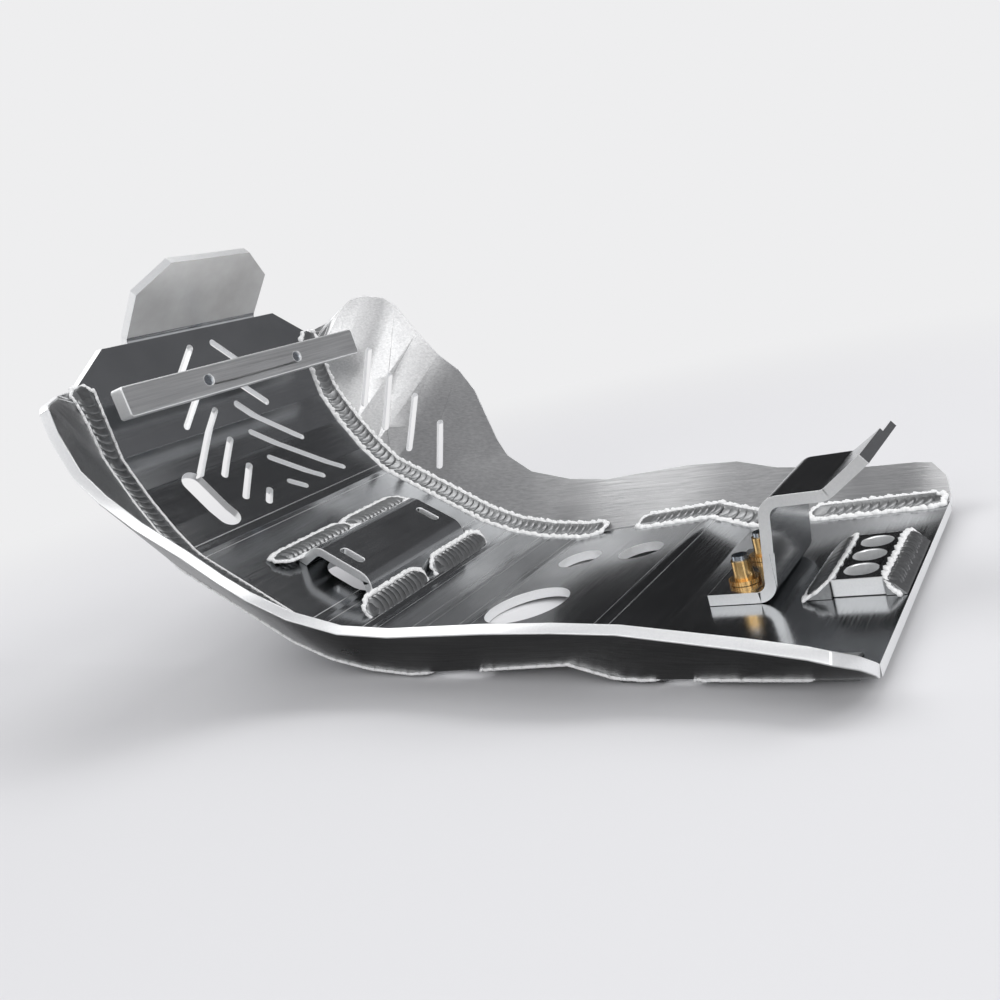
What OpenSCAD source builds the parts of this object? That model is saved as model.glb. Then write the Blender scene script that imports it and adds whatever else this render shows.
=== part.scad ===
// Motorcycle skid plate: a press-brake bent bash plate with welded side wings, a front clamp
// bar, a hat bracket, a Z bracket with two threaded fasteners and a three-hole tow block.
// Frame: +X to the rear of the bike, +Y to its right side, +Z up. Millimetres.

/* [Plate stock] */
// Thickness of the plate that the bent pieces and the wings are cut from
plate = 5; // [3:0.5:8]
// Inside radius of a press-brake bend
bend_radius = 4.5; // [2:0.5:8]
// Half of the width of the main sheet
half_width = 91; // [80:0.5:110]

/* [Main sheet panels, front to rear] */
// Length of the front panel below the tab fold
front_length = 61.7; // [50:0.1:80]
// Slope of the front panel
front_slope = 82.6; // [75:0.1:88]
// Length of the first curve panel
curve_1_length = 21.9; // [15:0.1:30]
// Slope of the first curve panel
curve_1_slope = 64; // [58:0.5:70]
// Length of the second curve panel
curve_2_length = 25.8; // [18:0.1:34]
// Slope of the second curve panel
curve_2_slope = 56.6; // [52:0.1:62]
// Length of the third curve panel
curve_3_length = 22.2; // [15:0.1:30]
// Slope of the third curve panel
curve_3_slope = 48.8; // [40:0.1:54]
// Length of the long sloping panel that carries the hat bracket
long_length = 81.1; // [70:0.1:95]
// Slope of the long panel
long_slope = 31; // [26:0.5:36]
// Length of the first lower panel
lower_1_length = 23.8; // [18:0.1:30]
// Slope of the first lower panel
lower_1_slope = 21.7; // [17:0.1:26]
// Length of the second lower panel
lower_2_length = 23.2; // [18:0.1:30]
// Slope of the second lower panel
lower_2_slope = 11.7; // [8:0.1:16]
// Length of the third lower panel
lower_3_length = 23.3; // [18:0.1:30]
// Slope of the third lower panel
lower_3_slope = 4.9; // [2:0.1:8]
// Length of the flat middle panel
middle_length = 85.7; // [75:0.1:95]
// Rise of the middle panel to the rear
middle_rise = 4.7; // [2:0.1:6]
// Length of the step down behind the middle panel
step_length = 24.6; // [18:0.1:30]
// Slope of the step
step_slope = 16.6; // [10:0.1:20]
// Length of the rear panel
rear_length = 98; // [85:0.5:110]
// Rise of the rear panel to the rear
rear_rise = 2.5; // [0:0.1:4]

/* [Front tab and shoulders] */
// Length of the folded tab
tab_length = 48.2; // [35:0.5:60]
// Lean of the tab above the horizontal
tab_lean = 47.5; // [35:0.5:65]
// Half of the width of the tab at its fold
tab_half_width = 50; // [40:0.5:60]
// Half of the width of the tab at its top
tab_top_half_width = 30; // [20:0.5:40]
// Height of the corner cuts of the tab
tab_corner = 18; // [10:0.5:25]
// Half of the width across the shoulders beside the tab
shoulder_half_width = 67; // [60:0.5:75]
// Drop from the shoulders to the start of the welds
shoulder_drop = 18; // [12:0.5:25]

/* [Slots and holes in the main sheet] */
// Width of a cooling slot
slot_width = 4.2; // [3:0.1:6]
// Distance from the fold to the first row of slots
slot_start = 11.5; // [8:0.5:16]
// Pitch of the slot rows down the sheet
slot_pitch = 20; // [16:0.5:24]
// Half of the gap between the two legs of a slot row
slot_centre_gap = 9; // [6:0.5:12]
// Spread of each slot against the line down the sheet
slot_spread = 45; // [35:1:55]
// Reach down the sheet of the first slots
slot_reach_1 = 16; // [10:0.5:20]
// Reach of the second slots
slot_reach_2 = 24; // [18:0.5:30]
// Reach of the third slots
slot_reach_3 = 34; // [28:0.5:40]
// Reach of the longest slots
slot_reach_4 = 45; // [38:0.5:48]
// Reach of the long fourth slot beside the drain opening
slot_reach_4_short = 20; // [14:0.5:24]
// Reach of the fifth slots
slot_reach_5 = 25; // [18:0.5:30]
// Reach of the fifth slot beside the drain opening
slot_reach_5_short = 18; // [12:0.5:24]
// Reach of the last slots
slot_reach_6 = 7; // [4:0.5:12]
// Width of the obround drain opening in the front curve
drain_width = 14; // [10:0.5:18]
// Distance between the round ends of the drain opening
drain_length = 28; // [20:0.5:36]
// Distance from the centre plane to the drain opening
drain_offset = 49; // [44:0.5:54]
// Radius of the large oil service hole
service_hole_radius = 22.5; // [15:0.5:28]
// Distance from the third lower bend to the large service hole
service_hole_along = 26.5; // [20:0.5:32]
// Distance from the centre plane to the large service hole
service_hole_offset = 28; // [22:0.5:34]
// Radius of the two small service holes
small_hole_radius = 12.5; // [8:0.5:15]
// Distance from the third lower bend to the first small hole
small_hole_along = 23; // [18:0.5:28]
// Pitch of the two small holes
small_hole_pitch = 38.5; // [32:0.5:44]
// Distance from the centre plane to the small holes
small_hole_offset = 38.5; // [32:0.5:46]
// Width of the opening under the hat bracket
hat_opening_width = 20; // [14:0.5:26]
// Length of the opening under the hat bracket
hat_opening_length = 33; // [24:0.5:40]
// Distance from the centre plane to the opening under the hat bracket
hat_opening_offset = 30; // [22:0.5:34]
// Depth of the drain notches in the edges of the sheet
notch_depth = 3.4; // [2:0.1:5]

/* [Side wings] */
// Gap between the edge of the sheet and the foot of a wing
wing_fit = 0.1; // [0.05:0.05:0.3]
// Width of a slot in the right wing
wing_slot_width = 4; // [3:0.1:6]
// Height of the front lobe of the right wing over the left one, as a share of the full lobe
lobe = 1; // [0:0.05:1]

/* [Weld beads] */
// Gap that keeps a bead clear of the plate under it
weld_seat = 0.2; // [0.05:0.01:0.3]
// Reach of the inner bead over the sheet
weld_toe = 8.5; // [5:0.5:11]
// Reach of the inner bead up the wing
weld_leg = 6; // [4:0.5:9]
// Crown of the beads
weld_crown = 0.9; // [0.3:0.1:2]
// Reach of the bracket beads
bracket_weld = 8; // [5:0.5:11]

/* [Clamp bar] */
// Half of the length of the clamp bar
bar_half_length = 92.4; // [80:0.2:100]
// Height of the clamp bar
bar_height = 16.5; // [12:0.5:20]
// Thickness of the clamp bar
bar_thickness = 10; // [8:0.5:14]
// Clear space between the front panel and the clamp bar
bar_gap = 27; // [20:0.5:35]
// Distance from the tab fold to the middle of the clamp bar
bar_along = 36.4; // [30:0.2:42]
// Half of the spacing of the clamp bolts
clamp_bolt_offset = 36; // [30:0.5:60]
// Corner bevel at the ends of the clamp bar
bar_bevel = 1; // [0.5:0.1:2]

/* [Clamp bolts] */
// Radius of the clamp bolt shank
bolt_radius = 3; // [2.5:0.1:4]
// Radial clearance of the bolt in the plate
bolt_clearance = 0.4; // [0.2:0.05:0.8]
// Radial clearance of the shank in the threaded bar
thread_clearance = 0.05; // [0.02:0.01:0.1]
// Width across flats of the clamp bolt head
bolt_flats = 10; // [8:0.5:13]
// Height of the clamp bolt head
bolt_head = 4; // [3:0.5:6]
// Outer radius of the washer
washer_radius = 7; // [6:0.5:9]
// Thickness of the washer
washer_thickness = 1.6; // [1:0.1:2.5]
// Distance by which the bolt stops short of the face of the bar
bolt_recess = 1.2; // [0.2:0.1:3]

/* [Hat bracket] */
// Half of the length of the hat bracket across the sheet
hat_half_length = 45; // [36:0.5:55]
// Distance from the long panel's start to the hat's top
hat_along = 47.5; // [42:0.5:52]
// Width of the flat top of the hat
hat_top = 37; // [30:0.5:44]
// Height of the hat's top face over the sheet
hat_height = 15.5; // [12:0.5:20]
// Angle of the hat's legs against the sheet
hat_leg_angle = 57; // [50:1:80]
// Distance from each end of the hat to its strap slot
hat_slot_margin = 9.5; // [6:0.5:16]
// Width of a strap slot
hat_slot_width = 4.5; // [3:0.5:6]
// Length of a strap slot
hat_slot_length = 15; // [10:0.5:20]

/* [Z bracket] */
// Half of the width of the Z bracket
z_half_width = 30; // [24:0.5:36]
// Distance from the step to the front edge of the lower flange
z_along = 14.5; // [10:0.5:20]
// Length of the lower flange to the outer face of the web
z_foot = 31.5; // [26:0.5:36]
// Height of the bracket over the sheet
z_height = 47; // [38:0.5:56]
// Lean of the web
z_lean = 6; // [0:0.5:12]
// Length of the upper flange
z_top = 27; // [20:0.5:34]
// Length of the kicked-up lip
z_lip = 21; // [14:0.5:26]
// Rise of the lip
z_lip_rise = 36; // [20:1:50]
// Distance from the centre plane to the fasteners
z_bolt_offset = 15.5; // [12:0.5:20]
// Distance from the front edge of the foot to the fasteners
z_bolt_along = 13; // [10:0.5:16]
// Radius of the through stud
stud_radius = 3.6; // [3:0.1:4.5]
// Radius of the threaded barrel
barrel_radius = 4.5; // [4.2:0.1:6]
// Height of the threaded barrel
barrel_height = 8.5; // [6:0.5:12]
// Radius of the serrated flange
nut_flange_radius = 7.1; // [6:0.1:9]
// Height of the serrated flange
nut_flange_height = 2; // [1.5:0.1:3]
// Number of serrations
serrations = 36; // [24:1:48]

/* [Rear block] */
// Half of the length of the block
block_half_length = 28; // [24:0.5:36]
// Width of the block
block_width = 21; // [16:0.5:26]
// Height of the block
block_height = 7.5; // [5:0.5:12]
// Distance from the rear edge to the block
block_from_rear = 9; // [6:0.5:14]
// Radius of the holes in the block
block_hole_radius = 6.7; // [4:0.1:8]
// Pitch of the holes
block_hole_pitch = 17; // [15:0.5:20]

/* [Hidden] */
$fn = 48;

far = 400;
panel_lengths = [front_length, curve_1_length, curve_2_length, curve_3_length, long_length,
  lower_1_length, lower_2_length, lower_3_length, middle_length, step_length, rear_length];
panel_slopes = [front_slope, curve_1_slope, curve_2_slope, curve_3_slope, long_slope,
  lower_1_slope, lower_2_slope, lower_3_slope, -middle_rise, step_slope, -rear_rise];
FRONT = 0; LONG = 4; MIDDLE = 8; REAR = 10; LAST = len(panel_lengths);

function down(slope) = [cos(slope), -sin(slope)];
function left_of(d) = [-d[1], d[0]];
function walk(i) = i == 0 ? [0, 0] : walk(i - 1) + panel_lengths[i - 1] * down(panel_slopes[i - 1]);
raw = [for (i = [0:LAST]) walk(i)];
floor_z = min([for (p = raw) p[1]]) - plate;
middle_x = (raw[LAST][0] - plate) / 2;
// Bends of the top face of the sheet in the shared frame, the tab fold first
bend = [for (p = raw) p - [middle_x, floor_z]];

// A place on the top face: the whole part counts panels, the rest is the share of the panel
function at(c) = let (i = min(floor(c), LAST - 1)) bend[i] + (c - i) * (bend[i + 1] - bend[i]);
function on_panel(i, along, high = 0) =
  bend[i] + along * down(panel_slopes[i]) + high * left_of(down(panel_slopes[i]));
function share_at(u, i = 0) =
  i >= LAST - 1 || u <= panel_lengths[i] ? i + u / panel_lengths[i] : share_at(u - panel_lengths[i], i + 1);
function slope_at(c) = panel_slopes[min(floor(c), LAST - 1)];
function unit(v) = v / norm(v);

// Outline of a bent strip: path is its left face, the thickness lies to the right
function bend_arc(path, i, t, r, left) =
  let (d1 = unit(path[i] - path[i - 1]), d2 = unit(path[i + 1] - path[i]),
       n1 = left_of(d1), n2 = left_of(d2), turn = d1[0] * d2[1] - d1[1] * d2[0],
       m = (n1 + n2) / (1 + n1 * n2),
       c = turn > 0 ? path[i] + m * r : path[i] - m * (t + r),
       s = turn > 0 ? -1 : 1,
       q = (turn > 0) == left ? r : r + t,
       steps = max(1, ceil(abs(asin(turn)) / 9)))
  [for (k = [0:steps]) c + s * q * unit(n1 + (n2 - n1) * k / steps)];
function flat_list(l) = [for (a = l) each a];
function strip(path, t, r) = let (n = len(path) - 1,
    first = left_of(unit(path[1] - path[0])), last = left_of(unit(path[n] - path[n - 1])))
  concat([path[0]], flat_list([for (i = [1:n - 1]) bend_arc(path, i, t, r, true)]), [path[n]],
    [path[n] - t * last],
    flat_list([for (i = [n - 1:-1:1]) let (a = bend_arc(path, i, t, r, false)) [for (k = [len(a) - 1:-1:0]) a[k]]]),
    [path[0] - t * first]);

// An XZ outline made solid from y1 to y2
module across(y1, y2) {
  translate([0, y2, 0]) rotate([90, 0, 0]) linear_extrude(y2 - y1) children();
}

// Obround cutter along X, centred
module obround(length, width, depth) {
  cube([length - width, width, depth], center = true);
  for (s = [-1, 1]) translate([s * (length - width) / 2, 0, 0]) cylinder(h = depth, d = width, center = true);
}

// Puts a child that points along Z on a panel, its X down the panel
module on_sheet(i, along, y = 0, high = 0) {
  p = on_panel(i, along, high);
  translate([p[0], y, p[1]]) rotate([0, panel_slopes[i], 0]) children();
}

/* Main sheet */
module cooling_slot(u, reach, side) {
  p = at(share_at(u)); q = at(share_at(u + reach)); chord = norm(q - p);
  dy = side * reach * tan(slot_spread);
  m = (p + q) / 2;
  translate([m[0], side * slot_centre_gap + dy / 2, m[1]])
    rotate([0, -atan2(q[1] - p[1], q[0] - p[0]), 0]) rotate([0, 0, atan2(dy, chord)])
      obround(norm([chord, dy]) + slot_width, slot_width, 6 * plate);
}

slot_rows = [slot_reach_1, slot_reach_2, slot_reach_3, slot_reach_4, slot_reach_5, slot_reach_6];
slot_rows_left = [slot_reach_1, slot_reach_2, slot_reach_3, slot_reach_4_short, slot_reach_5_short, slot_reach_6];

// Ends of the welded runs along each edge, as places on the sheet
weld_start = share_at(shoulder_drop + 1.2);
front_run_end = 8.12;
middle_run_start = 8.48;
middle_run_end = 10.18;
rear_run_start = 10.33;
rear_run_end = 10.93;

module notch(c1, c2, side) {
  p = at(c1); q = at(c2); m = (p + q) / 2;
  translate([m[0], side * (half_width - notch_depth / 2 + 1), m[1]])
    rotate([0, -atan2(q[1] - p[1], q[0] - p[0]), 0]) obround(norm(q - p), notch_depth + 2, 6 * plate);
}

tab_top = bend[0] + tab_length * [cos(tab_lean), sin(tab_lean)];
shoulder_z = bend[0][1] - 1.2;

module main_sheet() color("silver") difference() {
  across(-half_width, half_width) polygon(strip(concat([tab_top], bend), plate, bend_radius));
  for (s = [-1, 1]) {
    // Sides of the tab, then its top corners and the slope under each shoulder
    translate([-far / 2, s > 0 ? tab_half_width : -far - tab_half_width, shoulder_z]) cube([far, far, far]);
    translate([tab_top[0], 0, tab_top[1]]) rotate([0, -tab_lean, 0]) linear_extrude(8 * plate, center = true)
      polygon([[-tab_corner, s * tab_half_width], [0, s * tab_top_half_width], [2 * plate, s * tab_top_half_width],
        [2 * plate, s * (tab_half_width + 2 * plate)], [-tab_corner, s * (tab_half_width + 2 * plate)]]);
    translate([bend[0][0] - 10 * plate, 0, 0]) rotate([90, 0, 90]) linear_extrude(20 * plate)
      polygon([[s * shoulder_half_width, shoulder_z], [s * (half_width + 1), shoulder_z - shoulder_drop],
        [s * (half_width + 1), shoulder_z + 20], [s * shoulder_half_width, shoulder_z + 20]]);
    notch(front_run_end, middle_run_start, s);
    notch(middle_run_end, rear_run_start, s);
    on_sheet(FRONT, bar_along, s * clamp_bolt_offset) cylinder(h = 4 * plate, r = bolt_radius + bolt_clearance, center = true);
    on_sheet(REAR, z_along + z_bolt_along, s * z_bolt_offset)
      cylinder(h = 4 * plate, r = stud_radius + bolt_clearance, center = true);
  }
  for (k = [0:len(slot_rows) - 1]) {
    cooling_slot(slot_start + k * slot_pitch, slot_rows[k], 1);
    cooling_slot(slot_start + k * slot_pitch, slot_rows_left[k], -1);
  }
  drain_at = front_length + curve_1_length + curve_2_length - 6.5;
  p = at(share_at(drain_at));
  translate([p[0], -drain_offset, p[1]]) rotate([0, (curve_2_slope + curve_3_slope) / 2, 0])
    rotate([0, 0, 8]) obround(drain_length + drain_width, drain_width, 6 * plate);
  on_sheet(MIDDLE, service_hole_along, -service_hole_offset) cylinder(h = 4 * plate, r = service_hole_radius, center = true);
  for (k = [0:1]) on_sheet(MIDDLE, small_hole_along + k * small_hole_pitch, small_hole_offset)
    cylinder(h = 4 * plate, r = small_hole_radius, center = true);
  on_sheet(LONG, hat_along + hat_top / 2, -hat_opening_offset) obround(hat_opening_length, hat_opening_width, 4 * plate);
}

/* Side wings: each station is a place on the sheet's edge and the reach of the top edge from it,
   as [place, to the rear, outward, up] */
wing_front_low = [[weld_start, 1.5, 13, -0.9], [0.46, 7, 18, 7.1], [0.6, 13.9, 24.5, 15.2], [0.74, 21.8, 31.5, 23.3],
  [0.87, 29.8, 38.5, 30.7], [1, 37.8, 45.5, 38.1], [1.5, 38.5, 49.8, 46.4]];
wing_front_high = [[weld_start, 1.4, 12.8, -1.1], [0.46, 5, 19.5, 13.2], [0.6, 10.3, 28.3, 29.2], [0.74, 14.6, 34.5, 41.5],
  [0.87, 21, 40.5, 49.7], [1, 30.3, 46.5, 53.1], [1.5, 32.5, 48.8, 56.2]];
wing_back = [[2.3, 33.9, 52, 51.2], [3.15, 33.2, 54.6, 49.9], [4, 34.3, 55, 51], [4.28, 26.9, 50.5, 47.7],
  [4.53, 21, 40.5, 40.2], [4.78, 13.1, 32.8, 35.1], [5, 6.8, 27.5, 33.3], [6, 2.7, 23.5, 30.6], [7, 8, 22.6, 27.8],
  [8, 11.1, 21, 27.7], [8.55, 16.8, 23.4, 26.8], [9, 9.4, 22, 23.3], [10, 10.6, 15, 26.3], [10.47, 11.6, 16.2, 19.6],
  [10.76, 6, 20.2, 17.3], [10.88, 2.4, 21.6, 15.7], [10.955, 2.2, 14, 10], [11, 0, 5, 3.5]];
function wing_stations(side) = concat(
  [for (k = [0:len(wing_front_low) - 1]) side < 0 ? wing_front_low[k]
     : wing_front_low[k] + lobe * (wing_front_high[k] - wing_front_low[k])], wing_back);

function foot(st) = let (p = at(st[0])) [p[0], half_width + wing_fit, p[1]];
function crest(st) = foot(st) + [st[1], st[2], st[3]];
function outward(a, b) = unit(cross(crest(a) + crest(b) - foot(a) - foot(b), foot(b) - foot(a)));
// Offset at a station that keeps the plate's thickness on both facets beside it
function mitre(sts, k) = let (n = len(sts) - 1,
    a = outward(sts[max(k - 1, 0)], sts[max(k, 1)]), b = outward(sts[min(k, n - 1)], sts[min(k + 1, n)]))
  (a + b) / (1 + a * b);

// Quads round a ring of points at each station, closed at both ends
function tube_faces(stations, ring) = concat(
  [[for (j = [0:ring - 1]) j]],
  [for (i = [0:stations - 2], j = [0:ring - 1]) each
    [[i * ring + j, (i + 1) * ring + j, (i + 1) * ring + (j + 1) % ring],
     [i * ring + j, (i + 1) * ring + (j + 1) % ring, i * ring + (j + 1) % ring]]],
  [[for (j = [ring - 1:-1:0]) (stations - 1) * ring + j]]);
module tube(rings) polyhedron(points = flat_list(rings), faces = tube_faces(len(rings), len(rings[0])));

module wing_blank(side) {
  sts = wing_stations(side);
  tube([for (k = [0:len(sts) - 1]) let (m = plate * mitre(sts, k))
    [foot(sts[k]), foot(sts[k]) + m, crest(sts[k]) + m, crest(sts[k])]]);
}

// Points of the wing's inner face, by the place of the foot and the share of the height
function wing_point(sts, c, t, k = 0) = c <= sts[k + 1][0] || k >= len(sts) - 2
  ? let (f = (c - sts[k][0]) / (sts[k + 1][0] - sts[k][0]),
      low = foot(sts[k]) * (1 - f) + foot(sts[k + 1]) * f, high = crest(sts[k]) * (1 - f) + crest(sts[k + 1]) * f)
    low + t * (high - low)
  : wing_point(sts, c, t, k + 1);

module wing_slot(p, q) {
  d = unit(q - p); n = unit(cross(cross(d, [0.4, -0.7, 0.55]), d));
  b = acos(n[2]); c = atan2(n[1], n[0]);
  x1 = [cos(b) * cos(c), cos(b) * sin(c), -sin(b)]; y1 = [-sin(c), cos(c), 0];
  translate((p + q) / 2) rotate([0, b, c]) rotate([0, 0, atan2(d * y1, d * x1)])
    obround(norm(q - p) + wing_slot_width, wing_slot_width, 8 * plate);
}
wing_slots = [[1.5, 0.54, 2.2, 0.2], [2.36, 0.54, 3.1, 0.2], [3.3, 0.58, 4.04, 0.2], [4.16, 0.54, 4.38, 0.22]];

module right_wing() color("gainsboro") difference() {
  wing_blank(1);
  for (s = wing_slots) wing_slot(wing_point(wing_stations(1), s[0], s[1]), wing_point(wing_stations(1), s[2], s[3]));
}
module left_wing() color("gainsboro") mirror([0, 1, 0]) wing_blank(-1);

/* Weld beads */
function sheet_normal(c) = let (i = min(floor(c), LAST - 1), j = c == i ? max(i - 1, 0) : i,
    a = left_of(down(panel_slopes[i])), b = left_of(down(panel_slopes[j])), m = (a + b) / (1 + a * b)) [m[0], 0, m[1]];
function run_places(sts, from, to) = concat([from],
  [for (c = sorted(concat([for (s = sts) s[0]], [2, 3]))) if (c > from + 0.02 && c < to - 0.02) c], [to]);
function sorted(v) = len(v) < 2 ? v : let (p = v[floor(len(v) / 2)])
  concat(sorted([for (x = v) if (x < p) x]), [p], sorted([for (x = v) if (x > p) x]));
function wing_in(sts, c) = let (a = wing_point(sts, c - 0.01, 0.5), b = wing_point(sts, c + 0.01, 0.5),
    up = wing_point(sts, c, 1) - wing_point(sts, c, 0)) unit(cross(b - a, up));

function wing_back_foot(sts, c, k = 0) = c <= sts[k + 1][0] || k >= len(sts) - 2
  ? let (f = (c - sts[k][0]) / (sts[k + 1][0] - sts[k][0]))
    (foot(sts[k]) + plate * mitre(sts, k)) * (1 - f) + (foot(sts[k + 1]) + plate * mitre(sts, k + 1)) * f
  : wing_back_foot(sts, c, k + 1);

module inner_bead(side, from, to) {
  sts = wing_stations(side);
  // The twisted facets at the rear end need more room than the rest
  room = from < rear_run_start ? 2 : 5;
  tube([for (c = run_places(sts, from, to))
    let (b = wing_point(sts, c, 0), up = unit(wing_point(sts, c, 1) - b), n = sheet_normal(c), w = wing_in(sts, c),
         seat = weld_seat * (n + room * w), a = b - [0, weld_toe, 0] + weld_seat * n,
         t = b + weld_leg * up + room * weld_seat * w)
    [b + seat, t, (a + t) / 2 - 0.25 * (a - t) + weld_crown * unit(n + w), (a + t) / 2 + 0.25 * (a - t) + weld_crown * unit(n + w), a]]);
}
module outer_bead(side, from, to) {
  sts = wing_stations(side);
  tube([for (c = run_places(sts, from, to))
    let (b = wing_point(sts, c, 0), n = sheet_normal(c), w = wing_in(sts, c), up = unit(wing_point(sts, c, 1) - b),
         low = [b[0], half_width, b[2]] - plate * n, corner = wing_back_foot(sts, c) - 2 * weld_seat * up)
    [b + 5 * weld_seat * unit(corner + low - 2 * b), low + [0, weld_seat, 0],
     (corner + low) / 2 + weld_crown * unit(corner + low - 2 * b), corner]]);
}

module bead(side, from, to) color("lightgrey")
  if (side > 0) inner_bead(1, from, to); else mirror([0, 1, 0]) inner_bead(-1, from, to);
module weld_right_front() bead(1, weld_start + 0.03, front_run_end);
module weld_right_middle() bead(1, middle_run_start, middle_run_end);
module weld_right_rear() bead(1, rear_run_start, rear_run_end);
module weld_left_front() bead(-1, weld_start + 0.03, front_run_end);
module weld_left_middle() bead(-1, middle_run_start, middle_run_end);
module weld_left_rear() bead(-1, rear_run_start, rear_run_end);
module outer_runs(side) {
  outer_bead(side, weld_start + 0.03, front_run_end);
  outer_bead(side, middle_run_start, middle_run_end);
  outer_bead(side, rear_run_start, rear_run_end);
}
module weld_right_outer() color("lightgrey") outer_runs(1);
module weld_left_outer() color("lightgrey") mirror([0, 1, 0]) outer_runs(-1);

/* Clamp bar and its bolts */
module clamp_bar() color("darkgrey") difference() {
  on_sheet(FRONT, bar_along, 0, bar_gap) translate([0, 0, bar_thickness / 2]) intersection() {
    cube([bar_height, 2 * bar_half_length, bar_thickness], center = true);
    rotate([0, 0, 45]) cube((bar_half_length * 2 + bar_height - 2 * bar_bevel) / sqrt(2) * [1, 1, 2], center = true);
  }
  for (s = [-1, 1]) on_sheet(FRONT, bar_along, s * clamp_bolt_offset, bar_gap + bar_thickness / 2)
    cylinder(h = 2 * bar_thickness, r = bolt_radius + thread_clearance, center = true);
}
module clamp_bolt(side) color("lightsteelblue") {
  reach = plate + washer_thickness + bar_gap + bar_thickness - bolt_recess;
  on_sheet(FRONT, bar_along, side * clamp_bolt_offset, -plate - washer_thickness) {
    cylinder(h = reach, r = bolt_radius);
    translate([0, 0, -bolt_head]) cylinder(h = bolt_head, r = bolt_flats / sqrt(3), $fn = 6);
  }
}
module clamp_washer(side) color("lightsteelblue")
  on_sheet(FRONT, bar_along, side * clamp_bolt_offset, -plate - washer_thickness) difference() {
    cylinder(h = washer_thickness, r = washer_radius);
    translate([0, 0, -1]) cylinder(h = washer_thickness + 2, r = bolt_radius + bolt_clearance);
  }
module clamp_bolt_left() clamp_bolt(-1);
module clamp_bolt_right() clamp_bolt(1);
module clamp_washer_left() clamp_washer(-1);
module clamp_washer_right() clamp_washer(1);

/* Hat bracket */
hat_sink = plate + 1;
leg_run = (hat_height + hat_sink) / tan(hat_leg_angle);
hat_path = [on_panel(LONG, hat_along + hat_top + leg_run, -hat_sink), on_panel(LONG, hat_along + hat_top, hat_height),
  on_panel(LONG, hat_along, hat_height), on_panel(LONG, hat_along - leg_run, -hat_sink)];
// Everything under the sheet's top face, raised by a seat gap
module below_sheet(gap) polygon(concat([for (p = bend) p + [0, gap]], [[far, -far], [-far, -far]]));

module hat_bracket() color("whitesmoke") difference() {
  across(-hat_half_length, hat_half_length) difference() {
    polygon(strip([for (k = [3:-1:0]) hat_path[k]], plate, bend_radius));
    below_sheet(weld_seat);
  }
  for (s = [-1, 1]) on_sheet(LONG, hat_along + hat_top / 2, s * (hat_half_length - hat_slot_margin), hat_height)
    obround(hat_slot_length, hat_slot_width, 4 * plate);
}
foot_back = hat_height / tan(hat_leg_angle);
module hat_bead(y1, y2, end, dir) {
  reach = bracket_weld / tan(hat_leg_angle);
  root = end + dir * (0.35 * weld_seat);
  across(y1, y2) difference() {
    polygon([on_panel(LONG, root - dir * reach + dir * weld_seat, bracket_weld),
      on_panel(LONG, root + dir * (bracket_weld * 0.45), bracket_weld * 0.62),
      on_panel(LONG, root + dir * bracket_weld, 0.4), on_panel(LONG, root + dir * bracket_weld, -3),
      on_panel(LONG, root + dir * (3 / tan(hat_leg_angle) + weld_seat), -3)]);
    below_sheet(weld_seat);
  }
}
hat_overhang = 9.5;
module hat_weld_front() color("lightgrey") for (y = [[-hat_half_length - hat_overhang, 2], [6, hat_half_length + hat_overhang]])
  hat_bead(y[0], y[1], hat_along - foot_back, -1);
module hat_weld_rear() color("lightgrey") for (y = [[-hat_half_length - hat_overhang, -8], [7, hat_half_length + hat_overhang]])
  hat_bead(y[0], y[1], hat_along + hat_top + foot_back, 1);

/* Z bracket */
web_run = z_height * tan(z_lean);
z_path = [on_panel(REAR, z_along, plate + weld_seat), on_panel(REAR, z_along + z_foot - plate, plate + weld_seat),
  on_panel(REAR, z_along + z_foot - plate + web_run, z_height), on_panel(REAR, z_along + z_foot - plate + web_run + z_top, z_height),
  on_panel(REAR, z_along + z_foot - plate + web_run + z_top + z_lip * cos(z_lip_rise), z_height + z_lip * sin(z_lip_rise))];
module corner_cut(along, y, size, s) // a wedge off one corner, seen from above
  on_sheet(REAR, along, s * y) linear_extrude(3 * z_height, center = true) polygon([[1, s], [-size, s], [1, -s * size]]);

module z_bracket() color("whitesmoke") difference() {
  across(-z_half_width, z_half_width) polygon(strip(z_path, plate, bend_radius));
  for (s = [-1, 1]) {
    on_sheet(REAR, z_along + z_bolt_along, s * z_bolt_offset) cylinder(h = 4 * plate, r = stud_radius + bolt_clearance, center = true);
    // Lower corners of the web give room to the weld
    on_sheet(REAR, z_along + z_foot + 20, s * z_half_width) rotate([90, 0, -90]) linear_extrude(40, center = true)
      polygon([[-s * 8, 0], [s, 0], [s, 22], [0, 22], [-s * 8, 9]]);
  }
  // The far corner of the lip
  on_sheet(REAR, z_along + z_foot - plate + web_run + z_top + z_lip * cos(z_lip_rise), z_half_width, z_height)
    linear_extrude(z_height, center = true) polygon([[1, 1], [-z_lip * cos(z_lip_rise) - 1, 1], [-z_lip * cos(z_lip_rise) - 1, 0],
      [-2, -z_half_width * 0.6], [1, -z_half_width * 0.6]]);
}

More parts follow.
